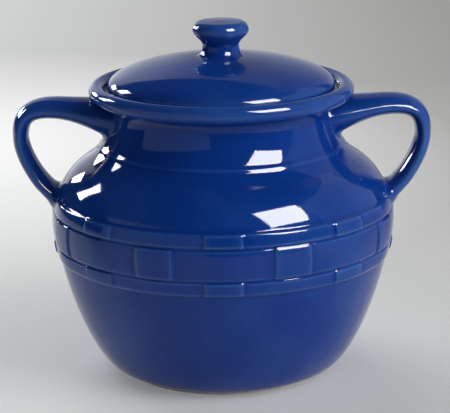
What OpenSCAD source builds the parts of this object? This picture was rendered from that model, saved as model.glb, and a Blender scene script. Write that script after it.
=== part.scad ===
// Round-bellied stoneware cookie jar with two loop handles and a lift-off knobbed lid.
// Millimetres. +Z is up, the origin is the centre of the foot on the table, handles lie along X.

/* [Body] */
// Radius of the belly at its widest
belly_r = 110.5; // [100:0.5:125]
// Height of the widest part of the belly
belly_z = 100.8; // [94:0.2:108]
// Fullness of the belly below its widest part
belly_full_low = 30; // [20:0.5:45]
// Fullness of the belly above its widest part
belly_full_high = 29; // [20:0.5:34]
// Outer radius of the foot ring
foot_r = 68; // [58:0.5:76]
// Height of the foot ring below the belly
foot_h = 3; // [2:0.5:5]
// Step from the foot ring out to the belly
foot_step = 3; // [1:0.5:6]
// How far the belly spreads out from the foot before it turns up
foot_flare = 16.6; // [10:0.2:22]
// Rise of that spread
foot_flare_rise = 1; // [0.5:0.1:4]
// Width of the foot ring that stands on the table
foot_ring_w = 7; // [4:0.5:12]
// Rounding at the outer edge of the foot ring
foot_round = 1; // [0.5:0.1:1.5]
// Depth of the recess inside the foot ring
foot_recess = 2.5; // [1:0.5:4]
// Thickness of the floor
floor_t = 8; // [6:0.5:11]
// Slope between floor and wall inside
floor_corner = 4; // [2:0.5:6]
// Thickness of the wall
wall = 6.5; // [5:0.25:8]

/* [Neck and rim] */
// Outer radius of the neck at its narrowest
neck_r = 72; // [68:0.5:75]
// Radius of the sweep from the neck out to the shoulder
neck_sweep = 39; // [34:0.5:41]
// Height of the neck's narrowest part below the rim
waist_drop = 17; // [14:0.5:20]
// Slope of the shoulder where it starts to turn up into the neck, in degrees from the vertical
shoulder_slope = 53.5; // [48:0.5:57]
// Fullness of the shoulder
shoulder_full = 7.4; // [5:0.1:14]
// Height of the jar at the rim
body_h = 190.7; // [182:0.1:205]
// Thickness of the rolled rim
bead_d = 10.4; // [9:0.2:12]
// How far the rolled rim stands out from the neck
bead_out = 14; // [12:0.25:15]
// Depth of the lid's ledge below the rim
gallery_depth = 6.7; // [6.2:0.1:9]

/* [Woven band] */
// Middle of the band below the widest part of the belly
weave_drop = 2.2; // [-4:0.2:6]
// Height of the broad middle splint
broad_splint = 20; // [16:0.5:22]
// Height of the two narrow splints
narrow_splint = 9; // [6:0.5:10]
// Groove between splints
splint_gap = 0.8; // [0.4:0.1:1.2]
// Width of an upright
upright_w = 24; // [16:1:28]
// How far the splints stand out from the wall
splint_relief = 1.1; // [0.6:0.1:1.6]
// How far an upright stands out where it crosses over a splint
upright_relief = 1.9; // [1.7:0.1:2.6]
// How far an upright laps over the edge of a splint that it crosses
upright_lap = 0.2; // [0.1:0.05:0.3]

/* [Handles] */
// How far a handle reaches out beyond the belly
handle_stand = 25.6; // [20:0.2:32]
// Middle of the upper joint below the rim
handle_root_drop = 23.8; // [21:0.2:26]
// Climb of the upper arm as it leaves the neck, in degrees
handle_climb = 15.5; // [8:0.5:20]
// Length over which the upper arm runs straight out
handle_run = 52; // [42:1:60]
// Height of the handle's outermost point below the rim
handle_mid_drop = 35; // [30:0.5:40]
// Roundness of the bend above the outermost point
handle_bend_high = 19.5; // [14:0.5:24]
// Roundness of the bend below the outermost point
handle_bend_low = 12; // [8:0.5:18]
// Height of the lower joint above the widest part of the belly
handle_low_rise = 13.7; // [10:0.1:17]
// Slope of the lower arm where it meets the belly, in degrees
handle_low_slope = 35; // [30:0.5:42]
// Length over which the lower arm runs straight in
handle_low_run = 21; // [16:0.5:28]
// Thickness along the upper arm
handle_top_t = 15.6; // [13:0.2:18]
// Thickness at the outermost point
handle_outer_t = 10.3; // [8:0.1:13]
// Thickness along the lower arm
handle_low_t = 11.8; // [9:0.2:14]
// Width from front to back where the upper arm leaves the neck
handle_top_w = 50; // [44:0.5:56]
// Width from front to back at the outermost point
handle_outer_w = 28; // [23:0.5:33]
// Width from front to back along the lower arm
handle_low_w = 28; // [23:0.5:33]
// Extra thickness where the upper arm spreads onto the neck
root_flare_t = 13; // [8:0.5:15]
// Extra thickness where the lower arm spreads onto the belly
low_flare_t = 5; // [2:0.5:7]
// Extra width where the lower arm spreads onto the belly
low_flare_w = 7; // [3:0.5:10]

/* [Lid] */
// Gap between the lid's edge and the wall of its ledge
lid_gap = 2.1; // [1:0.1:3]
// Height of the lid's edge above the ledge
lid_edge_h = 4.8; // [3.5:0.1:6.5]
// Rounding of the lid's lower edge and of the flange
lid_round = 1.2; // [0.5:0.1:2]
// Rise of the dome above the edge
dome_rise = 18.7; // [15:0.1:24]
// Fullness of the dome at its edge
dome_full_edge = 12.5; // [8:0.5:14]
// Length over which the dome runs nearly level from the knob
dome_level = 7; // [3:0.5:16]
// Thickness of the dome
lid_t = 6; // [5:0.25:7]
// Depth of the flange that keeps the lid centred
flange_depth = 12; // [8:0.5:18]
// Thickness of the flange
flange_t = 5; // [4:0.25:6]
// Gap between the flange and the neck
flange_gap = 2.2; // [1:0.1:3]

/* [Knob] */
// Height of the knob above the dome
knob_h = 22.8; // [20:0.1:28]
// Radius of the knob's foot
knob_foot_r = 16; // [14:0.1:18]
// Height of the foot's edge
knob_foot_t = 0.4; // [0.3:0.1:0.8]
// Height over which the foot sweeps in to the waist
knob_sweep = 2.6; // [1.8:0.1:3.4]
// Radius of the knob's waist
knob_waist_r = 11.8; // [10:0.1:13]
// Height of the waist above the dome
knob_waist_h = 6.8; // [5.6:0.1:8]
// Length over which the waist runs straight up before the head spreads
knob_waist_run = 3.5; // [2.5:0.1:5]
// Radius of the knob's head
knob_head_r = 18.3; // [15:0.1:21]
// Height of the widest part of the head below the top
knob_head_drop = 6.2; // [5:0.1:7.5]
// Length over which the head's side runs steep below its widest part
knob_head_run = 3.5; // [2:0.1:5]
// Width of the rounding at the head's rim
knob_head_round = 5; // [3:0.1:7]
// Crown of the head's top
knob_crown = 0.6; // [0.2:0.1:1]
// Level ring round the knob's foot on the dome
knob_seat_margin = 0.5; // [0.2:0.1:2]

/* [Hidden] */

glaze = "#1d3c8f";
$fn = 72;

// How finely curves are drawn
curve_steps = 8;
arc_steps = 5;
handle_sides = 20;
handle_rings = 18;

// Rolled rim and the ledge inside it
bead_r = bead_d / 2;
bead_x = neck_r + bead_out - bead_r;
bead_z = body_h - bead_r;
gallery_r = bead_x - bead_r;
ledge_z = body_h - gallery_depth;
neck_in_r = neck_r - wall;

// Sweep from shoulder to neck, an arc about a point outside the neck
sweep_x = neck_r + neck_sweep;
waist_z = body_h - waist_drop;
shoulder_z = waist_z - neck_sweep * sin(shoulder_slope);
shoulder_end = [sweep_x - neck_sweep * cos(shoulder_slope), shoulder_z];

// Hollow under the rim, an arc that touches the neck at its narrowest and the rolled rim
rim_reach = bead_x - neck_r;
rim_rise = bead_z - waist_z;
hollow_r = (pow(rim_reach, 2) + pow(rim_rise, 2) - pow(bead_r, 2)) / (2 * (bead_r + rim_reach));
hollow_end = atan2(rim_rise, rim_reach - hollow_r);

// Foot and floor
foot_in_r = foot_r - foot_ring_w;
floor_z = foot_recess + floor_t;

// Woven band
weave_z = belly_z - weave_drop;
broad_low = weave_z - broad_splint / 2;
broad_high = weave_z + broad_splint / 2;
weave_low = broad_low - splint_gap - narrow_splint;
weave_high = broad_high + splint_gap + narrow_splint;
upright_count = 16;
upright_step = 360 / upright_count;
upright_angle = upright_w / belly_r * 180 / PI;

// Lid and knob
lid_r = gallery_r - lid_gap;
lid_edge_z = ledge_z + lid_edge_h;
dome_z = lid_edge_z + dome_rise;
knob_seat_r = knob_foot_r + knob_seat_margin;
flange_r = neck_in_r - flange_gap;
flange_in_r = flange_r - flange_t;
flange_low = ledge_z - flange_depth;
knob_head_z = knob_h - knob_head_drop;
knob_rim_z = knob_h - knob_crown;

function bezier(p, t) =
    pow(1 - t, 3) * p[0] + 3 * pow(1 - t, 2) * t * p[1] + 3 * (1 - t) * t * t * p[2] + pow(t, 3) * p[3];

function bezier_dir(p, t) =
    let (d = pow(1 - t, 2) * (p[1] - p[0]) + 2 * (1 - t) * t * (p[2] - p[1]) + t * t * (p[3] - p[2]))
    d / norm(d);

function curve(p) = [for (i = [0 : curve_steps]) bezier(p, i / curve_steps)];

// The same curve moved to its left
function curve_inside(p, distance) =
    [for (i = [0 : curve_steps])
        let (t = i / curve_steps, d = bezier_dir(p, t))
        bezier(p, t) + distance * [-d[1], d[0]]];

// Arc about a point, with or without its first point
function arc(x, z, r, from, to, first = 0) =
    [for (i = [first : arc_steps])
        let (a = from + (to - from) * i / arc_steps)
        [x + r * cos(a), z + r * sin(a)]];

function flip(points) = [for (i = [len(points) - 1 : -1 : 0]) points[i]];

function between(points, low, high) = [for (p = points) if (p[1] > low && p[1] < high) p];

lower_belly = [
    [foot_r + foot_step, foot_h],
    [foot_r + foot_step + foot_flare, foot_h + foot_flare_rise],
    [belly_r, belly_z - belly_full_low],
    [belly_r, belly_z]
];
upper_belly = [
    [belly_r, belly_z],
    [belly_r, belly_z + belly_full_high],
    shoulder_end + shoulder_full * [sin(shoulder_slope), -cos(shoulder_slope)],
    shoulder_end
];
belly_curve = concat(curve(lower_belly), curve(upper_belly));

// Radius of the plain belly at a height
function belly_at(z) = lookup(z, [for (p = belly_curve) [p[1], p[0]]]);

// Face that stands out from the belly: its bottom and top
function raised_face(low, high, relief) = [for (z = [low, high]) [belly_at(z) + relief, z]];

function on_belly(heights) = [for (z = heights) [belly_at(z), z]];

woven_face = concat(
    on_belly([weave_low]),
    raised_face(weave_low, broad_low - splint_gap, splint_relief),
    on_belly([broad_low - splint_gap, broad_low]),
    raised_face(broad_low, broad_high, splint_relief),
    on_belly([broad_high, broad_high + splint_gap]),
    raised_face(broad_high + splint_gap, weave_high, splint_relief),
    on_belly([weave_high])
);

// Outside of the jar from the foot to the top of the rim
outside = concat(
    [[foot_r - foot_round, 0], [foot_r, foot_round], [foot_r, foot_h]],
    between(belly_curve, 0, weave_low),
    woven_face,
    between(belly_curve, weave_high, shoulder_z),
    arc(sweep_x, waist_z, neck_sweep, 180 + shoulder_slope, 180),
    arc(neck_r + hollow_r, waist_z, hollow_r, 180, hollow_end, first = 1),
    arc(bead_x, bead_z, bead_r, hollow_end - 180, 90, first = 1)
);

// Inside of the wall from the neck down to the floor
inside_wall = concat(
    arc(sweep_x, waist_z, neck_sweep + wall, 180, 180 + shoulder_slope),
    between(flip(curve_inside(upper_belly, wall)), belly_z, shoulder_z - wall),
    between(flip(curve_inside(lower_belly, wall)), floor_z + floor_corner, belly_z)
);
floor_edge_r = inside_wall[len(inside_wall) - 1][0] - floor_corner;

inside = concat(
    arc(bead_x, bead_z, bead_r, 90, 180, first = 1),
    [[gallery_r, ledge_z], [neck_in_r, ledge_z]],
    inside_wall,
    [[floor_edge_r, floor_z], [0, floor_z]]
);

underside = [[0, foot_recess], [foot_in_r - foot_recess, foot_recess], [foot_in_r, 0]];

// One block of an upright where it lies over a splint, with its back inside the wall
module upright_block(middle, low, high) {
    bottom = low - upright_lap;
    top = high + upright_lap;
    back = [[belly_at(top) - wall / 2, top], [belly_at(bottom) - wall / 2, bottom]];
    rotate([0, 0, middle - upright_angle / 2])
        rotate_extrude(angle = upright_angle)
            polygon(concat(raised_face(bottom, top, upright_relief), back));
}

// Every other upright crosses over the broad splint, the ones between cross over the narrow splints.
// The upper block is left out where a handle springs from the belly.
module uprights() {
    for (i = [0 : upright_count - 1]) {
        middle = i * upright_step;
        if (i % 2 == 1) {
            upright_block(middle, broad_low, broad_high);
        } else {
            upright_block(middle, weave_low, broad_low - splint_gap);
            if (i % (upright_count / 2) != 0)
                upright_block(middle, broad_high + splint_gap, weave_high);
        }
    }
}

module jar_body() {
    color(glaze) {
        rotate_extrude() polygon(concat(underside, outside, inside));
        uprights();
    }
}

// Spine of the right-hand handle, from inside the neck wall out and down into the belly wall
handle_outermost = [belly_r + handle_stand - handle_outer_t / 2, body_h - handle_mid_drop];
handle_root = [neck_r - wall / 2, body_h - handle_root_drop];
handle_low_z = belly_z + handle_low_rise;
low_dir = [cos(handle_low_slope), sin(handle_low_slope)];
low_sink = (handle_low_t + low_flare_t) / 2;
handle_end = [belly_at(handle_low_z), handle_low_z] - low_sink * low_dir;

handle_upper = [
    handle_root,
    handle_root + handle_run * [cos(handle_climb), sin(handle_climb)],
    handle_outermost + [0, handle_bend_high],
    handle_outermost
];
handle_lower = [
    handle_outermost,
    handle_outermost - [0, handle_bend_low],
    handle_end + handle_low_run * low_dir,
    handle_end
];

// Share of each arm over which it spreads, and what is left of the flare at a share of the way along
root_flare_reach = 0.3;
low_flare_reach = 0.5;
// How fast the upper arm narrows on its way out
upper_taper = 3;
function flare(share, reach) = pow(max(0, 1 - share / reach), 2);

function mix(a, b, share) = a + (b - a) * share;

function oval_ring(spine, t, thick, width) =
    let (p = bezier(spine, t), d = bezier_dir(spine, t))
    [for (i = [0 : handle_sides - 1])
        let (a = 360 * i / handle_sides, out = thick / 2 * cos(a))
        [p[0] - d[1] * out, width / 2 * sin(a), p[1] + d[0] * out]];

upper_rings = [for (i = [0 : handle_rings])
    let (t = i / handle_rings)
    oval_ring(
        handle_upper, t,
        thick = mix(handle_top_t, handle_outer_t, t) + root_flare_t * flare(t, root_flare_reach),
        width = mix(handle_outer_w, handle_top_w, pow(1 - t, upper_taper))
    )];

// The first ring once more, further into the neck wall, so that its wide ends are buried too
root_ring = [for (p = upper_rings[0]) p - [wall / 2, 0, 0]];

lower_rings = [for (i = [1 : handle_rings])
    let (t = i / handle_rings, f = flare(1 - t, low_flare_reach))
    oval_ring(
        handle_lower, t,
        thick = mix(handle_outer_t, handle_low_t, t) + low_flare_t * f,
        width = mix(handle_outer_w, handle_low_w, t) + low_flare_w * f
    )];

// Skin of a tube given as rings of points
module tube_skin(rings) {
    count = len(rings);
    sides = len(rings[0]);
    points = [for (ring = rings) for (p = ring) p];
    walls = [for (k = [0 : count - 2]) for (i = [0 : sides - 1])
        let (j = (i + 1) % sides)
        [k * sides + i, k * sides + j, (k + 1) * sides + j, (k + 1) * sides + i]];
    first_cap = [for (i = [sides - 1 : -1 : 0]) i];
    last_cap = [for (i = [0 : sides - 1]) (count - 1) * sides + i];
    polyhedron(points, concat([first_cap, last_cap], walls));
}

// Right-hand loop, cut to the outside of the jar that it is stuck to
module handle() {
    difference() {
        tube_skin(concat([root_ring], upper_rings, lower_rings));
        rotate_extrude() polygon(concat(outside, [[0, body_h], [0, 0]]));
    }
}

module handle_right() {
    color(glaze) handle();
}

module handle_left() {
    color(glaze) mirror([1, 0, 0]) handle();
}

dome = [
    [lid_r, lid_edge_z],
    [lid_r, lid_edge_z + dome_full_edge],
    [knob_seat_r + dome_level, dome_z],
    [knob_seat_r, dome_z]
];
hollow = [
    [0, dome_z - lid_t],
    [dome_level + knob_seat_r, dome_z - lid_t],
    [flange_in_r, lid_edge_z + dome_full_edge],
    [flange_in_r, ledge_z]
];

module lid() {
    color(glaze)
        rotate_extrude()
            polygon(concat(
                [[flange_r, flange_low + lid_round], [flange_r, ledge_z]],
                [[lid_r - lid_round, ledge_z], [lid_r, ledge_z + lid_round]],
                curve(dome),
                [[0, dome_z]],
                curve(hollow),
                [[flange_in_r, flange_low], [flange_r - lid_round, flange_low]]
            ));
}

// Share of the way to the corner at which a quarter of an oval has its control points
quarter_bend = 0.55;

knob_stem = [
    [knob_foot_r, knob_foot_t],
    [mix(knob_waist_r, knob_foot_r, 0.5), knob_foot_t],
    [knob_waist_r, knob_foot_t + knob_sweep],
    [knob_waist_r, knob_waist_h]
];
knob_cup = [
    [knob_waist_r, knob_waist_h],
    [knob_waist_r, knob_waist_h + knob_waist_run],
    [knob_head_r, knob_head_z - knob_head_run],
    [knob_head_r, knob_head_z]
];
knob_top = [
    [knob_head_r, knob_head_z],
    [knob_head_r, mix(knob_head_z, knob_rim_z, quarter_bend)],
    [knob_head_r - mix(knob_head_round, 0, quarter_bend), knob_rim_z],
    [knob_head_r - knob_head_round, knob_rim_z]
];

module lid_knob() {
    color(glaze)
        translate([0, 0, dome_z])
            rotate_extrude()
                polygon(concat(
                    [[0, 0], [knob_foot_r, 0]],
                    curve(knob_stem),
                    curve(knob_cup),
                    curve(knob_top),
                    [[0, knob_h]]
                ));
}

jar_body();
handle_left();
handle_right();
lid();
lid_knob();
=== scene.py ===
import math

import bmesh
import bpy
from mathutils import Matrix, Vector


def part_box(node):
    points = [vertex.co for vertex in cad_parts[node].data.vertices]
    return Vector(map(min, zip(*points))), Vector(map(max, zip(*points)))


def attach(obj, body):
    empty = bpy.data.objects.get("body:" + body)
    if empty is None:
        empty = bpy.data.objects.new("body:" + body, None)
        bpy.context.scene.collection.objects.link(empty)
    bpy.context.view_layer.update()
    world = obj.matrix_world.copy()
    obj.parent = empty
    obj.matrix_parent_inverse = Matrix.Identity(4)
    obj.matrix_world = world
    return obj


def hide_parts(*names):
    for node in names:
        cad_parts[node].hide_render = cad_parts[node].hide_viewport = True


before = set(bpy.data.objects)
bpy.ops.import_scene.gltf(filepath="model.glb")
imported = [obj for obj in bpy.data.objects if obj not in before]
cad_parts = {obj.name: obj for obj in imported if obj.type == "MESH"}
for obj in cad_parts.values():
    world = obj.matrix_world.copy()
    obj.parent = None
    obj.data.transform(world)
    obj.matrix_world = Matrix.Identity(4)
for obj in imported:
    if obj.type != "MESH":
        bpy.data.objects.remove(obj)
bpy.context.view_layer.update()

scene = bpy.context.scene
scene.view_settings.view_transform = "Standard"

MM = 0.001
merge_distance = 0.001 * MM

# Places that the parts in model.glb give
rim_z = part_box("jar_body")[1].z
lid_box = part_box("lid")
knob_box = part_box("lid_knob")
handle_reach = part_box("handle_right")[1].x
lid_r = lid_box[1].x
flange_low = lid_box[0].z
dome_z = knob_box[0].z
knob_top_z = knob_box[1].z

# Belly and foot
belly_r = 110.5 * MM
belly_z = 100.8 * MM
belly_full_low = 30 * MM
belly_full_high = 29 * MM
foot_r = 68 * MM
foot_h = 3 * MM
foot_step = 3 * MM
foot_flare = 16.6 * MM
foot_flare_rise = 1 * MM
foot_in_r = 61 * MM
foot_in_slope = 3 * MM
foot_recess = 2.5 * MM
foot_soft = 0.9 * MM
foot_in_soft = 0.8 * MM
foot_step_soft = 0.5 * MM
recess_soft = 1.5 * MM
wall = 6.5 * MM
floor_z = 10.5 * MM
floor_corner = 9 * MM
floor_lean = 2.5 * MM
floor_pull = 0.6
floor_bend = 0.4 * floor_corner
floor_run = 1.6 * floor_corner

# Shoulder, neck and rolled rim
neck_r = 72 * MM
neck_sweep = 39 * MM
waist_z = rim_z - 17 * MM
shoulder_slope = math.radians(53.5)
shoulder_full = 7.4 * MM
ridge_z = 150.5 * MM
ridge_w = 4.5 * MM
ridge_h = 0.45 * MM
bead_r = 5.2 * MM
bead_out = 14 * MM
gallery_depth = 6.7 * MM
gallery_soft = 0.7 * MM
ledge_soft = 1 * MM
sweep_x = neck_r + neck_sweep
shoulder_z = waist_z - neck_sweep * math.sin(shoulder_slope)
shoulder_r = sweep_x - neck_sweep * math.cos(shoulder_slope)
bead_x = neck_r + bead_out - bead_r
bead_z = rim_z - bead_r
gallery_r = bead_x - bead_r
ledge_z = rim_z - gallery_depth
neck_in_r = neck_r - wall

# Hollow under the rim, an arc that touches the neck at its narrowest and the rolled rim
rim_reach = bead_x - neck_r
rim_rise = bead_z - waist_z
hollow_r = (rim_reach ** 2 + rim_rise ** 2 - bead_r ** 2) / (2 * (bead_r + rim_reach))
hollow_x = neck_r + hollow_r
hollow_end = math.atan2(rim_rise, rim_reach - hollow_r)

# Woven band: two narrow splints, a broad one between them, and the uprights
weave_z = belly_z - 2.2 * MM
broad_splint = 20 * MM
narrow_splint = 9 * MM
splint_gap = 0.8 * MM
splint_relief = 1.3 * MM
upright_relief = 2.3 * MM
upright_w = 24 * MM
upright_count = 16
upright_step = 2 * math.pi / upright_count
handle_every = upright_count // 2
splint_bow = 0.45
splint_crown = 0.16
edge_soft = 2 * MM
row_soft = 0.8 * edge_soft
edge_zone = 0.9 * edge_soft
band_rows = 60
row_gap = 1 * MM
broad_low = weave_z - broad_splint / 2
broad_high = weave_z + broad_splint / 2
splint_rows = [
    (broad_low - splint_gap - narrow_splint, broad_low - splint_gap),
    (broad_low, broad_high),
    (broad_high + splint_gap, broad_high + splint_gap + narrow_splint),
]
weave_low = splint_rows[0][0]
weave_high = splint_rows[-1][1]
BROAD_ROW = 1
TOP_ROW = 2

# Handles
handle_root_z = rim_z - 23.8 * MM
handle_climb = math.radians(15.5)
handle_run = 52 * MM
handle_mid_z = rim_z - 35 * MM
handle_bend_high = 19.5 * MM
handle_bend_low = 12 * MM
handle_low_z = belly_z + 13.7 * MM
handle_low_slope = math.radians(35)
handle_low_run = 21 * MM
handle_top_t = 15.6 * MM
handle_outer_t = 10.3 * MM
handle_low_t = 11.8 * MM
handle_top_w = 50 * MM
handle_outer_w = 28 * MM
handle_low_w = 28 * MM
handle_taper = 3.9
handle_low_sink = 8.4 * MM
root_flare_t = 12 * MM
low_flare_t = 4 * MM
low_flare_w = 6 * MM
root_flare_reach = 0.3
low_flare_reach = 0.5
root_fillet = 4.5 * MM
low_fillet = 6 * MM
crotch_fillet = 10 * MM
handle_sink = 2.5 * MM
handle_landing = 16 * MM
handle_squareness = 2 / 1.9
handle_sides = 36
handle_rings = 30
ring_crowding = 1.8

# Lid
lid_edge_z = ledge_z + 4.8 * MM
dome_full_edge = 12.5 * MM
dome_level = 7 * MM
lid_t = 6 * MM
flange_r = neck_in_r - 2.2 * MM
flange_in_r = flange_r - 5 * MM
flange_soft = 1.8 * MM
flange_root_soft = 0.8 * MM
lid_edge_soft = 1.6 * MM
knob_seat_r = 16.5 * MM
lid_turn_steps = 192

# Knob
knob_foot_r = 16 * MM
knob_foot_sink = 0.1 * MM
knob_foot_pull = 0.5
knob_sweep = 3 * MM
knob_waist_r = 11.8 * MM
knob_waist_z = dome_z + 6.8 * MM
knob_waist_run = 3.5 * MM
knob_head_r = 18.3 * MM
knob_head_z = knob_top_z - 6.2 * MM
knob_head_run = 3.5 * MM
knob_head_round = 5 * MM
knob_crown = 0.6 * MM
knob_rim_z = knob_top_z - knob_crown
quarter_bend = 0.55
knob_turn_steps = 144

# Bare clay, where the glaze was wiped off
foot_wiped_h = 1 * MM
foot_wiped_in = 2 * MM
ledge_wiped_h = 1.2 * MM
ledge_wiped_edge = 0.5 * MM
lid_wiped_h = 0.2 * MM
lid_wiped_in = 2 * MM
lid_wiped_edge = 0.9 * MM


def mix(a, b, share):
    """What lies a share of the way from a to b."""
    return a + (b - a) * share


def soft_step(x):
    """0 up to 0, 1 from 1 on, and a smooth rise between."""
    x = min(1.0, max(0.0, x))
    return x * x * (3 - 2 * x)


def plateau(x, low, high, soft):
    """1 between low and high, 0 outside, with soft edges."""
    return soft_step((x - low) / soft + 0.5) - soft_step((x - high) / soft + 0.5)


def bezier(p, t):
    """Point at t, from 0 to 1, on the curve of four control points."""
    s = 1 - t
    return s ** 3 * p[0] + 3 * s * s * t * p[1] + 3 * s * t * t * p[2] + t ** 3 * p[3]


def bezier_dir(p, t):
    """Direction of that curve at t."""
    s = 1 - t
    return (s * s * (p[1] - p[0]) + 2 * s * t * (p[2] - p[1]) + t * t * (p[3] - p[2])).normalized()


def curve(p, steps):
    """Points along the curve of four (r, z) control points."""
    p = [Vector(point) for point in p]
    return [bezier(p, i / steps) for i in range(steps + 1)]


def curve_inside(p, distance, steps):
    """The same curve moved to its left."""
    points = []
    for i in range(steps + 1):
        along = bezier_dir(p, i / steps)
        points.append(bezier(p, i / steps) + distance * Vector((-along.y, along.x)))
    return points


def arc(r, z, radius, start, end, steps):
    """Points along an arc round (r, z)."""
    angles = [mix(start, end, i / steps) for i in range(steps + 1)]
    return [Vector((r + radius * math.cos(a), z + radius * math.sin(a))) for a in angles]


def soft_path(corners, steps=5):
    """Points through corners (r, z, softness); each corner is rounded by its softness."""
    points = [Vector((r, z)) for r, z, _ in corners]
    path = [points[0]]
    for before, here, after, corner in zip(points, points[1:], points[2:], corners[1:]):
        softness = corner[2]
        start = here + (before - here).normalized() * softness
        end = here + (after - here).normalized() * softness
        for i in range(steps + 1):
            t = i / steps
            path.append(mix(mix(start, here, t), mix(here, end, t), t))
    return path + [points[-1]]


def root_of(function, low, high):
    """Where a function that is negative at low and positive at high passes zero."""
    for _ in range(40):
        middle = (low + high) / 2
        if function(middle) < 0:
            low = middle
        else:
            high = middle
    return (low + high) / 2


lower_belly = [
    Vector((foot_r + foot_step, foot_h)),
    Vector((foot_r + foot_step + foot_flare, foot_h + foot_flare_rise)),
    Vector((belly_r, belly_z - belly_full_low)),
    Vector((belly_r, belly_z)),
]
upper_belly = [
    Vector((belly_r, belly_z)),
    Vector((belly_r, belly_z + belly_full_high)),
    Vector((shoulder_r, shoulder_z))
    + shoulder_full * Vector((math.sin(shoulder_slope), -math.cos(shoulder_slope))),
    Vector((shoulder_r, shoulder_z)),
]


def on_belly(z):
    """Point of the plain belly at a height."""
    part = lower_belly if z < belly_z else upper_belly
    return bezier(part, root_of(lambda t: bezier(part, t).y - z, 0, 1))


def wall_r(z):
    """Radius of the jar's plain outside at a height, from the belly to the underside of the rim."""
    if z < shoulder_z:
        return on_belly(z).x
    if z < waist_z:
        return sweep_x - math.sqrt(neck_sweep ** 2 - (z - waist_z) ** 2)
    if z < waist_z + hollow_r * math.sin(hollow_end):
        return hollow_x - math.sqrt(hollow_r ** 2 - (z - waist_z) ** 2)
    return hollow_x


def relief(angle, z):
    """How far the woven band stands out from the belly."""
    if not weave_low - edge_soft < z < weave_high + edge_soft:
        return 0.0
    number = round(angle / upright_step)
    aside = (angle - number * upright_step) * belly_r
    number %= upright_count
    across = plateau(aside, -upright_w / 2, upright_w / 2, edge_soft)
    hump = math.cos(math.pi * aside / (upright_step * belly_r)) ** 2
    height = 0.0
    for row, (low, high) in enumerate(splint_rows):
        on_row = plateau(z, low, high, row_soft)
        upright_over = (row == BROAD_ROW) == (number % 2 == 1)
        under_handle = row == TOP_ROW and number % handle_every == 0
        if upright_over and not under_handle:
            top = mix(splint_relief * (1 - splint_bow * hump), upright_relief, across)
        else:
            top = splint_relief * (1 + splint_bow * hump)
        crown = 1 - splint_crown * ((2 * z - low - high) / (high - low)) ** 2
        height = max(height, on_row * top * crown)
    return height


def spin_outline(outline, turns):
    """Turns an outline of (r, z) points round the jar's axis, in turns of (angle, steps)."""
    bm = bmesh.new()
    points = [bm.verts.new((p.x, 0, p.y)) for p in outline]
    edges = [bm.edges.new(pair) for pair in zip(points, points[1:])]
    geom = points + edges
    for angle, steps in turns:
        spun = bmesh.ops.spin(
            bm, geom=geom, cent=(0, 0, 0), axis=(0, 0, 1), dvec=(0, 0, 0),
            angle=angle, steps=steps, use_merge=len(turns) == 1,
        )
        geom = spun["geom_last"]
    bmesh.ops.remove_doubles(bm, verts=bm.verts, dist=merge_distance)
    bmesh.ops.recalc_face_normals(bm, faces=bm.faces)
    return bm


def mark_glaze(bm, bare):
    """Keeps on each vertex how the glaze lies there: it thins on tight edges and pools in hollows."""
    bm.normal_update()
    layer_break = bm.verts.layers.float.new("glaze_break")
    layer_bare = bm.verts.layers.float.new("bare_clay")
    edge_size = 1.6 * MM
    run_rounds = 2
    run_share = 0.5
    for v in bm.verts:
        # Mean bend of the surface, measured against an edge of that size
        bend = 0.0
        for e in v.link_edges:
            step = e.other_vert(v).co - v.co
            bend -= 2 * v.normal.dot(step) / step.length_squared
        bend *= edge_size / len(v.link_edges)
        v[layer_break] = min(1.0, max(-1.0, bend))
        v[layer_bare] = bare(math.hypot(v.co.x, v.co.y), v.co.z)
    for _ in range(run_rounds):
        spread = []
        for v in bm.verts:
            around = [e.other_vert(v)[layer_break] for e in v.link_edges]
            spread.append(mix(v[layer_break], sum(around) / len(around), run_share))
        for v, value in zip(bm.verts, spread):
            v[layer_break] = value


def glazed_piece(name, bm, material, body, node, bare=lambda r, z: 0.0):
    """Makes the mesh an object that rides on its body in place of its solid."""
    mark_glaze(bm, bare)
    mesh = bpy.data.meshes.new(name)
    bm.to_mesh(mesh)
    bm.free()
    mesh.polygons.foreach_set("use_smooth", [True] * len(mesh.polygons))
    mesh.materials.append(material)
    obj = bpy.data.objects.new(name, mesh)
    scene.collection.objects.link(obj)
    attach(obj, body)
    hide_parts(node)


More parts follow.
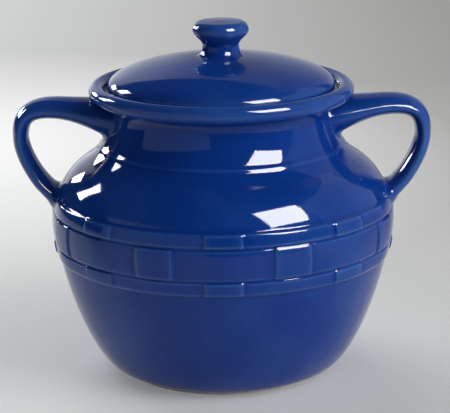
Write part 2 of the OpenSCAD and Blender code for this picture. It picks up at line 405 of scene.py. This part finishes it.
def jar_outline():
    """From the middle of the underside round the foot, belly, rim and inside to the middle of the floor."""
    foot = soft_path([
        (0, foot_recess, 0),
        (foot_in_r - foot_in_slope, foot_recess, recess_soft),
        (foot_in_r, 0, foot_in_soft),
        (foot_r, 0, foot_soft),
        (foot_r, foot_h, foot_soft),
        (foot_r + foot_step, foot_h, foot_step_soft),
        (foot_r + foot_step + foot_flare, foot_h + foot_flare_rise, 0),
    ])[:-1]
    # The band has close rows of its own, and the foot's last soft corner stands for the belly's first points
    band_low = weave_low - edge_soft
    band_high = weave_high + edge_soft
    low_part = [p for p in curve(lower_belly, steps=34)[2:] if p.y < band_low - row_gap]
    band_part = [on_belly(mix(band_low, band_high, i / band_rows)) for i in range(band_rows + 1)]
    high_part = [p for p in curve(upper_belly, steps=36)[:-1] if p.y > band_high + row_gap]
    sweep = arc(sweep_x, waist_z, neck_sweep, math.pi + shoulder_slope, math.pi, steps=56)
    for p in sweep:
        p.x += ridge_h * soft_step(1 - abs(p.y - ridge_z) / (ridge_w / 2))
    hollow = arc(hollow_x, waist_z, hollow_r, math.pi, hollow_end, steps=14)[1:]
    bead = arc(bead_x, bead_z, bead_r, hollow_end - math.pi, math.pi, steps=30)[1:]
    ledge = soft_path([
        (gallery_r, bead_z, 0),
        (gallery_r, ledge_z, gallery_soft),
        (neck_in_r, ledge_z, ledge_soft),
        (neck_in_r, waist_z, 0),
    ])[1:-1]
    neck_inside = arc(sweep_x, waist_z, neck_sweep + wall, math.pi, math.pi + shoulder_slope, steps=12)
    wall_inside = curve_inside(upper_belly, wall, steps=14)[-2::-1]
    wall_inside += curve_inside(lower_belly, wall, steps=18)[-2::-1]
    wall_inside = [p for p in wall_inside if p.y > floor_z + floor_corner]
    last = wall_inside[-1]
    corner = Vector((last.x - floor_lean, floor_z))
    floor_curve = [
        last,
        mix(last, corner, floor_pull),
        corner - Vector((floor_bend, 0)),
        corner - Vector((floor_run, 0)),
    ]
    floor_part = curve(floor_curve, steps=7)[1:] + [Vector((0, floor_z))]
    return (foot + low_part + band_part + high_part + sweep + hollow + bead
            + ledge + neck_inside + wall_inside + floor_part)


def jar_is_bare(r, z):
    """Unglazed clay under the foot and on the ledge that the lid sits on."""
    under_foot = z < foot_wiped_h and r > foot_in_r - foot_wiped_in
    on_ledge = abs(z - ledge_z) < ledge_wiped_h and neck_in_r < r - ledge_wiped_edge < gallery_r
    return 1.0 if under_foot or on_ledge else 0.0


def make_jar(material):
    """The body turned in fine steps at the edges of each upright, then the weave raised on its outside."""
    edge = upright_w / 2 / belly_r
    near = edge_zone / belly_r
    sector = [
        (edge - near, 3),
        (2 * near, 4),
        (upright_step - 2 * (edge + near), 4),
        (2 * near, 4),
        (edge - near, 3),
    ]
    bm = spin_outline(jar_outline(), sector * upright_count)
    inside = belly_r - 0.8 * wall
    for v in bm.verts:
        r = math.hypot(v.co.x, v.co.y)
        if r > inside:
            out = (r + relief(math.atan2(v.co.y, v.co.x), v.co.z)) / r
            v.co.x *= out
            v.co.y *= out
    glazed_piece("glazed_jar", bm, material, "jar", "jar_body", jar_is_bare)


outermost = Vector((handle_reach - handle_outer_t / 2, handle_mid_z))
handle_root = Vector((neck_r - wall / 2, handle_root_z))
low_dir = Vector((math.cos(handle_low_slope), math.sin(handle_low_slope)))
handle_end = on_belly(handle_low_z) - handle_low_sink * low_dir
handle_upper = [
    handle_root,
    handle_root + handle_run * Vector((math.cos(handle_climb), math.sin(handle_climb))),
    outermost + Vector((0, handle_bend_high)),
    outermost,
]
handle_lower = [
    outermost,
    outermost - Vector((0, handle_bend_low)),
    handle_end + handle_low_run * low_dir,
    handle_end,
]


def flare(share, reach):
    """What is left of an arm's spread at a share of the way along it."""
    return max(0.0, 1 - share / reach) ** 2


def fillet(distance, radius):
    """Extra half width of an arm at a distance from the wall it runs into."""
    if distance >= radius:
        return 0.0
    return radius - math.sqrt(radius ** 2 - (radius - distance) ** 2)


def handle_stations():
    """Middle, direction, thickness, width and distance from the wall of each ring along a handle."""
    start = root_of(lambda t: bezier(handle_upper, t).x - wall_r(bezier(handle_upper, t).y), 0, 1)
    end = root_of(lambda t: wall_r(bezier(handle_lower, t).y) - bezier(handle_lower, t).x, 0, 1)
    stations = []
    for i in range(handle_rings + 1):
        t = mix(start, 1, (i / handle_rings) ** ring_crowding)
        middle = bezier(handle_upper, t)
        away = (middle - bezier(handle_upper, start)).length
        extra = 2 * fillet(away, root_fillet)
        thick = mix(handle_top_t, handle_outer_t, t) + root_flare_t * flare(t, root_flare_reach) + extra
        width = mix(handle_outer_w, handle_top_w, (1 - t) ** handle_taper)
        stations.append((middle, bezier_dir(handle_upper, t), thick, width, away))
    for i in range(1, handle_rings + 1):
        t = mix(0, end, 1 - (1 - i / handle_rings) ** ring_crowding)
        middle = bezier(handle_lower, t)
        away = (middle - bezier(handle_lower, end)).length
        along = bezier_dir(handle_lower, t)
        extra = 2 * fillet(away, low_fillet)
        inner = fillet(away, crotch_fillet) - extra / 2
        spread = flare(1 - t, low_flare_reach)
        thick = mix(handle_outer_t, handle_low_t, t) + low_flare_t * spread + extra + inner
        width = mix(handle_outer_w, handle_low_w, t) + low_flare_w * spread + extra
        middle += inner / 2 * Vector((along.y, -along.x))
        stations.append((middle, along, thick, width, away))
    return stations


def ring_matrix(middle, along, thick, width):
    """Places a flat ring of radius 1 across the handle."""
    out = Vector((-along.y, 0, along.x)) * thick / 2
    side = Vector((0, 1, 0)) * width / 2
    ahead = Vector((along.x, 0, along.y)) * MM
    matrix = Matrix((out, side, ahead)).transposed().to_4x4()
    matrix.translation = Vector((middle.x, 0, middle.y))
    return matrix


def land(v, along, away):
    """Draws a vertex near the wall onto the wall's own curve."""
    if away >= handle_landing:
        return
    hold = (1 - away / handle_landing) ** 2
    r = wall_r(v.co.z)
    r += relief(math.asin(v.co.y / r), v.co.z)
    on_wall = math.sqrt(r * r - v.co.y ** 2) + away * abs(along.x)
    v.co.x = mix(v.co.x, on_wall, hold)


def extrude_ring(bm, ring):
    """A new ring on the edges of an open one: its vertices in the same order, and its edges."""
    joined = (e for v in ring for e in v.link_edges if e.other_vert(v) in ring)
    made = bmesh.ops.extrude_edge_only(bm, edges=list(dict.fromkeys(joined)))["geom"]
    edges = [e for e in made if isinstance(e, bmesh.types.BMEdge)]
    ends = {v for v in made if isinstance(v, bmesh.types.BMVert)}
    return [next(e.other_vert(v) for e in v.link_edges if e.other_vert(v) in ends) for v in ring], edges


def make_handle(name, side, material, node):
    """A ring drawn along the loop, spread onto neck and belly, with its ends sunk in the wall."""
    bm = bmesh.new()
    first = bmesh.ops.create_circle(bm, segments=handle_sides, radius=1)["verts"]
    for v in first:
        v.co.x = math.copysign(abs(v.co.x) ** handle_squareness, v.co.x)
        v.co.y = math.copysign(abs(v.co.y) ** handle_squareness, v.co.y)
    section = [v.co.copy() for v in first]
    ring = first
    for number, (middle, along, thick, width, away) in enumerate(handle_stations()):
        if number > 0:
            ring, _ = extrude_ring(bm, ring)
        matrix = ring_matrix(middle, along, thick, width)
        for v, flat in zip(ring, section):
            v.co = matrix @ flat
            land(v, along, away)
    for end_ring in (first, ring):
        sunk, edges = extrude_ring(bm, end_ring)
        bmesh.ops.translate(bm, verts=sunk, vec=(-handle_sink, 0, 0))
        bmesh.ops.contextual_create(bm, geom=edges)
    if side < 0:
        bmesh.ops.scale(bm, verts=bm.verts, vec=(-1, 1, 1))
    bmesh.ops.recalc_face_normals(bm, faces=bm.faces)
    glazed_piece(name, bm, material, "jar", node)


def lid_is_bare(r, z):
    """Unglazed clay on the flange and where the lid sits on the ledge."""
    across = flange_r - lid_wiped_in < r < lid_r - lid_wiped_edge
    return 1.0 if across and z < ledge_z + lid_wiped_h else 0.0


def make_lid(material):
    """Domed lid with a rounded edge and the flange that keeps it in the neck."""
    dome = curve([
        (lid_r, lid_edge_z),
        (lid_r, lid_edge_z + dome_full_edge),
        (knob_seat_r + dome_level, dome_z),
        (knob_seat_r, dome_z),
    ], steps=36)
    hollow = curve([
        (0, dome_z - lid_t),
        (dome_level + knob_seat_r, dome_z - lid_t),
        (flange_in_r, lid_edge_z + dome_full_edge),
        (flange_in_r, ledge_z),
    ], steps=24)
    flange = soft_path([
        (flange_in_r, ledge_z, 0),
        (flange_in_r, flange_low, flange_soft),
        (flange_r, flange_low, flange_soft),
        (flange_r, ledge_z, flange_root_soft),
        (lid_r, ledge_z, lid_edge_soft),
        (lid_r, lid_edge_z, 0),
    ])[1:-1]
    bm = spin_outline(hollow + flange + dome + [Vector((0, dome_z))], [(2 * math.pi, lid_turn_steps)])
    glazed_piece("domed_lid", bm, material, "lid", "lid", lid_is_bare)


def make_knob(material):
    """Turned knob: a foot that runs out on the dome, a waist and a flat mushroom head."""
    foot_z = dome_z - knob_foot_sink
    stem = curve([
        (knob_foot_r, foot_z),
        (mix(knob_waist_r, knob_foot_r, knob_foot_pull), foot_z),
        (knob_waist_r, dome_z + knob_sweep),
        (knob_waist_r, knob_waist_z),
    ], steps=16)
    cup = curve([
        (knob_waist_r, knob_waist_z),
        (knob_waist_r, knob_waist_z + knob_waist_run),
        (knob_head_r, knob_head_z - knob_head_run),
        (knob_head_r, knob_head_z),
    ], steps=20)[1:]
    head = curve([
        (knob_head_r, knob_head_z),
        (knob_head_r, mix(knob_head_z, knob_rim_z, quarter_bend)),
        (knob_head_r - knob_head_round * (1 - quarter_bend), knob_rim_z),
        (knob_head_r - knob_head_round, knob_rim_z),
    ], steps=16)[1:]
    crown = [mix(head[-1], Vector((0, knob_top_z)), share) for share in (0.25, 0.5, 0.75, 1)]
    bm = spin_outline([Vector((0, foot_z))] + stem + cup + head + crown, [(2 * math.pi, knob_turn_steps)])
    glazed_piece("turned_knob", bm, material, "lid", "lid_knob")


def linear(hex_colour):
    """An sRGB hex colour as linear RGBA."""
    channels = [int(hex_colour[i:i + 2], 16) / 255 for i in (1, 3, 5)]
    return [c / 12.92 if c <= 0.04045 else ((c + 0.055) / 1.055) ** 2.4 for c in channels] + [1.0]


def add_node(tree, kind, settings=None, **inputs):
    """Adds a node with its settings and inputs. An input is a number, a colour or another node's output;
    _ in its name stands for a space, and _0 is the first input."""
    node = tree.nodes.new(kind)
    for name, value in (settings or {}).items():
        setattr(node, name, value)
    for name, value in inputs.items():
        socket = node.inputs[int(name[1:])] if name[1:].isdigit() else node.inputs[name.replace("_", " ")]
        if isinstance(value, bpy.types.NodeSocket):
            tree.links.new(value, socket)
        else:
            socket.default_value = value
    return node


def cobalt_glaze():
    """Cobalt glaze on buff stoneware: glassy and deep blue, lighter where it runs thin over an edge,
    darker where it pools, faintly clouded, and with the bare clay showing where it was wiped off."""
    material = bpy.data.materials.new("cobalt_glaze_on_stoneware")
    material.use_nodes = True
    tree = material.node_tree
    shader = tree.nodes["Principled BSDF"]
    place = add_node(tree, "ShaderNodeTexCoord").outputs["Object"]
    thin = add_node(tree, "ShaderNodeAttribute", {"attribute_name": "glaze_break"}).outputs["Fac"]
    bare = add_node(tree, "ShaderNodeAttribute", {"attribute_name": "bare_clay"}).outputs["Fac"]
    # Pigment flecks and the clay's grain are drawn coarse enough to show
    cloud_size = 45 * MM
    fleck_size = 1.2 * MM
    grain_size = 0.8 * MM
    skin_size = 16 * MM
    skin_height = 0.15 * MM
    plain_depth = 0.335
    cloud_share = 0.22
    fleck_share = 0.07
    thin_share = 0.55
    body_place = 0.48
    clouds = add_node(tree, "ShaderNodeTexNoise", Vector=place, Scale=1 / cloud_size, Detail=3.0)
    flecks = add_node(tree, "ShaderNodeTexNoise", Vector=place, Scale=1 / fleck_size, Detail=2.0)
    cloud_part = add_node(tree, "ShaderNodeMath", {"operation": "MULTIPLY_ADD"},
                          _0=clouds.outputs["Fac"], _1=cloud_share, _2=plain_depth)
    fleck_part = add_node(tree, "ShaderNodeMath", {"operation": "MULTIPLY_ADD"},
                          _0=flecks.outputs["Fac"], _1=fleck_share, _2=cloud_part.outputs[0])
    depth = add_node(tree, "ShaderNodeMath", {"operation": "MULTIPLY_ADD"},
                     _0=thin, _1=thin_share, _2=fleck_part.outputs[0])
    cobalt = add_node(tree, "ShaderNodeValToRGB", Fac=depth.outputs[0])
    cobalt.color_ramp.elements[0].color = linear("#051f5e")
    cobalt.color_ramp.elements[1].color = linear("#4878ba")
    cobalt.color_ramp.elements.new(body_place).color = linear("#0b3586")
    grain = add_node(tree, "ShaderNodeTexNoise", Vector=place, Scale=1 / grain_size, Detail=4.0)
    clay = add_node(tree, "ShaderNodeValToRGB", Fac=grain.outputs["Fac"])
    clay.color_ramp.elements[0].color = linear("#cfc6b0")
    clay.color_ramp.elements[1].color = linear("#f0eadb")
    colour = add_node(tree, "ShaderNodeMix", {"data_type": "RGBA"}, Factor=bare,
                      A=cobalt.outputs["Color"], B=clay.outputs["Color"])
    # The fired skin of the glaze is a little uneven
    skin = add_node(tree, "ShaderNodeTexNoise", Vector=place, Scale=1 / skin_size, Detail=1.0)
    gloss = add_node(tree, "ShaderNodeMapRange", Value=skin.outputs["Fac"], To_Min=0.03, To_Max=0.08)
    rough = add_node(tree, "ShaderNodeMix", Factor=bare, A=gloss.outputs["Result"], B=0.8)
    bump = add_node(tree, "ShaderNodeBump", Height=skin.outputs["Fac"], Strength=0.25, Distance=skin_height)
    tree.links.new(colour.outputs["Result"], shader.inputs["Base Color"])
    tree.links.new(rough.outputs["Result"], shader.inputs["Roughness"])
    tree.links.new(bump.outputs["Normal"], shader.inputs["Normal"])
    # A glaze has an IOR of about 1.5; the jar's own reflections are weaker
    shader.inputs["IOR"].default_value = 1.34
    return material


def make_stage():
    """Table covered with matt pale paper, without gloss, that runs well back behind the jar."""
    bm = bmesh.new()
    half_width = 1.6
    front, back = -1.25, 2.3
    corners = [(-half_width, front), (half_width, front), (half_width, back), (-half_width, back)]
    bmesh.ops.contextual_create(bm, geom=[bm.verts.new((x, y, 0)) for x, y in corners])
    mesh = bpy.data.meshes.new("pale_table")
    bm.to_mesh(mesh)
    bm.free()
    material = bpy.data.materials.new("matt_table_paper_with_painted_light")
    material.use_nodes = True
    tree = material.node_tree
    shader = tree.nodes["Principled BSDF"]
    shader.inputs["Roughness"].default_value = 0.9
    shader.inputs["Specular IOR Level"].default_value = 0.2
    # Painted light on the paper: its colour is paler on the left and darker to the right, a painted fall-off
    # of the lamps.
    # For camera and mirrored rays it also glows with a painted backdrop, darker to the right and with a
    # painted glow behind the left loop. A third of it glows near the jar, which lightens the jar's shadow,
    # and far off it runs into a plain background.
    place = add_node(tree, "ShaderNodeTexCoord").outputs["Object"]
    axes = add_node(tree, "ShaderNodeSeparateXYZ", Vector=place)
    aside = add_node(tree, "ShaderNodeMapRange", Value=axes.outputs["X"], From_Min=-0.3, From_Max=0.3)
    # Painted fall-off: the paper's colour darkens from left to right, as the lamps' light would
    painted_falloff_near = add_node(tree, "ShaderNodeValToRGB", Fac=aside.outputs[0])
    painted_falloff_near.color_ramp.elements[0].color = linear("#f8f9f9")
    painted_falloff_near.color_ramp.elements[1].color = linear("#dcdddb")
    tree.links.new(painted_falloff_near.outputs["Color"], shader.inputs["Base Color"])
    # Painted backdrop glow, darker to the right, with a painted glow spot behind the left loop
    painted_falloff_far = add_node(tree, "ShaderNodeValToRGB", Fac=aside.outputs[0])
    painted_falloff_far.color_ramp.elements[0].color = linear("#d0d2d1")
    painted_falloff_far.color_ramp.elements[1].color = linear("#9e9e9c")
    painted_glow_place = add_node(tree, "ShaderNodeMapping", {"vector_type": "TEXTURE"}, Vector=place,
                    Location=(-0.3, 0.6, 0), Scale=(0.55, 0.55, 0.55))
    painted_glow = add_node(tree, "ShaderNodeTexGradient", {"gradient_type": "SPHERICAL"}, Vector=painted_glow_place.outputs[0])
    painted_backdrop = add_node(tree, "ShaderNodeMix", {"data_type": "RGBA"}, Factor=painted_glow.outputs["Fac"],
                       A=painted_falloff_far.outputs["Color"], B=linear("#ffffff"))
    plain = add_node(tree, "ShaderNodeEmission", Color=painted_backdrop.outputs["Result"])
    # The painted glow is a third of what camera and mirrored rays see near the jar, and all of it far off
    far_off = add_node(tree, "ShaderNodeMapRange", Value=axes.outputs["Y"],
                       From_Min=0.05, From_Max=0.95, To_Min=0.35)
    rays = add_node(tree, "ShaderNodeLightPath")
    looked_at = add_node(tree, "ShaderNodeMath", {"operation": "MAXIMUM"},
                         _0=rays.outputs["Is Camera Ray"], _1=rays.outputs["Is Glossy Ray"])
    share = add_node(tree, "ShaderNodeMath", {"operation": "MULTIPLY"},
                     _0=far_off.outputs[0], _1=looked_at.outputs[0])
    paper = add_node(tree, "ShaderNodeMixShader", Fac=share.outputs[0],
                     _1=shader.outputs[0], _2=plain.outputs[0])
    tree.links.new(paper.outputs[0], tree.nodes["Material Output"].inputs["Surface"])
    mesh.materials.append(material)
    stage = bpy.data.objects.new("pale_table", mesh)
    scene.collection.objects.link(stage)


def make_softbox(name, direction, distance, size, radiance, mirrored=True, lights=True, colour="#ffffff"):
    """Rectangular studio lamp that faces the jar. It can be only mirrored in the glaze, or only light it."""
    lamp = bpy.data.lights.new(name, "AREA")
    lamp.color = linear(colour)[:3]
    lamp.shape = "RECTANGLE"
    lamp.size, lamp.size_y = size
    lamp.energy = radiance * math.pi * size[0] * size[1]
    obj = bpy.data.objects.new(name, lamp)
    aim = Vector((0, 0, 0.12))
    obj.location = aim + Vector(direction).normalized() * distance
    obj.rotation_euler = (obj.location - aim).to_track_quat("Z", "Y").to_euler()
    obj.visible_camera = False
    obj.visible_glossy = mirrored
    obj.visible_diffuse = lights
    scene.collection.objects.link(obj)


def make_light():
    """A softbox at the front right, two window panes behind on the left, pale walls and a dim room."""
    sky_tint = "#e6eeff"
    wall_tint = "#c8d8ff"
    make_softbox("front_right_light", (0.73, -0.5, 0.42), 1.4, (1.0, 1.0), 5.0, mirrored=False)
    make_softbox("back_left_light", (-0.46, 0.82, 0.54), 1.6, (1.5, 1.5), 3.3, mirrored=False)
    make_softbox("front_right_softbox", (0.57, -0.54, 0.61), 1.25, (0.62, 0.62), 38, lights=False)
    make_softbox("narrow_pane", (-0.61, 0.755, 0.24), 1.25, (0.22, 0.22), 30, lights=False)
    make_softbox("broad_pane", (-0.745, 0.49, 0.40), 1.25, (0.26, 0.44), 28, lights=False, colour=sky_tint)
    make_softbox("right_wall", (0.92, 0.18, 0.34), 1.5, (1.6, 1.75), 0.8, lights=False, colour=wall_tint)
    make_softbox("front_left_wall", (-0.735, -0.66, 0.15), 2.0, (2.9, 1.05), 0.8, lights=False,
                 colour=wall_tint)
    make_room()


def make_room():
    """World that lights evenly. In the glaze it is a dark room with a pale backdrop behind the jar, which is
    paler on the left and whose top edge rises to the right."""
    dark_room = "#222428"
    world = bpy.data.worlds.new("dim_room")
    scene.world = world
    world.use_nodes = True
    tree = world.node_tree
    toward = add_node(tree, "ShaderNodeTexCoord").outputs["Generated"]
    axes = add_node(tree, "ShaderNodeSeparateXYZ", Vector=toward)
    # The backdrop's tones from the table up
    height = add_node(tree, "ShaderNodeMath", {"operation": "MULTIPLY_ADD"},
                      _0=axes.outputs["X"], _1=-0.5, _2=axes.outputs["Z"])
    backdrop = add_node(tree, "ShaderNodeValToRGB", Fac=height.outputs[0])
    backdrop.color_ramp.elements[0].color = linear("#bcbec0")
    backdrop.color_ramp.elements[1].position = 0.67
    backdrop.color_ramp.elements[1].color = linear(dark_room)
    for position, colour in ((0.25, "#a4a6a9"), (0.40, "#949699"), (0.55, "#8c8e92"), (0.65, "#8a8c90")):
        backdrop.color_ramp.elements.new(position).color = linear(colour)
    paler = add_node(tree, "ShaderNodeMapRange", Value=axes.outputs["X"],
                     From_Min=-0.25, From_Max=-0.05, To_Min=3.0, To_Max=1.0)
    lit_backdrop = add_node(tree, "ShaderNodeVectorMath", {"operation": "SCALE"},
                            _0=backdrop.outputs["Color"], Scale=paler.outputs[0])
    # Its two ends and how far round it reaches, with soft edges
    left_end = add_node(tree, "ShaderNodeMapRange", Value=axes.outputs["X"], From_Min=-0.50, From_Max=-0.46)
    right_end = add_node(tree, "ShaderNodeMapRange", Value=axes.outputs["X"], From_Min=0.60, From_Max=0.50)
    behind = add_node(tree, "ShaderNodeMapRange", Value=axes.outputs["Y"], From_Min=0.30, From_Max=0.40)
    across = add_node(tree, "ShaderNodeMath", {"operation": "MULTIPLY"},
                      _0=left_end.outputs[0], _1=right_end.outputs[0])
    on_backdrop = add_node(tree, "ShaderNodeMath", {"operation": "MULTIPLY"},
                           _0=across.outputs[0], _1=behind.outputs[0])
    mirrored = add_node(tree, "ShaderNodeMix", {"data_type": "RGBA"}, Factor=on_backdrop.outputs[0],
                        A=linear(dark_room), B=lit_backdrop.outputs["Vector"])
    rays = add_node(tree, "ShaderNodeLightPath")
    unseen = add_node(tree, "ShaderNodeMix", {"data_type": "RGBA"}, Factor=rays.outputs["Is Glossy Ray"],
                      A=linear("#646668"), B=mirrored.outputs["Result"])
    seen = add_node(tree, "ShaderNodeMix", {"data_type": "RGBA"}, Factor=rays.outputs["Is Camera Ray"],
                    A=unseen.outputs["Result"], B=linear("#d2d4d5"))
    tree.links.new(seen.outputs["Result"], tree.nodes["Background"].inputs["Color"])


def make_camera():
    """Camera at the photograph's viewing angle."""
    camera = bpy.data.cameras.new("camera")
    camera.sensor_width = 36
    camera.lens = 151.04
    obj = bpy.data.objects.new("camera", camera)
    pan, tilt, roll = math.radians(-0.067), math.radians(90 - 15.24), math.radians(-0.77)
    turn = Matrix.Rotation(pan, 4, "Z") @ Matrix.Rotation(tilt, 4, "X") @ Matrix.Rotation(roll, 4, "Z")
    obj.location = (0, -1.2, 0.4332)
    obj.rotation_euler = turn.to_euler()
    scene.collection.objects.link(obj)
    scene.camera = obj


make_camera()
glaze = cobalt_glaze()
make_jar(glaze)
make_handle("left_loop", -1, glaze, "handle_left")
make_handle("right_loop", 1, glaze, "handle_right")
make_lid(glaze)
make_knob(glaze)
make_stage()
make_light()
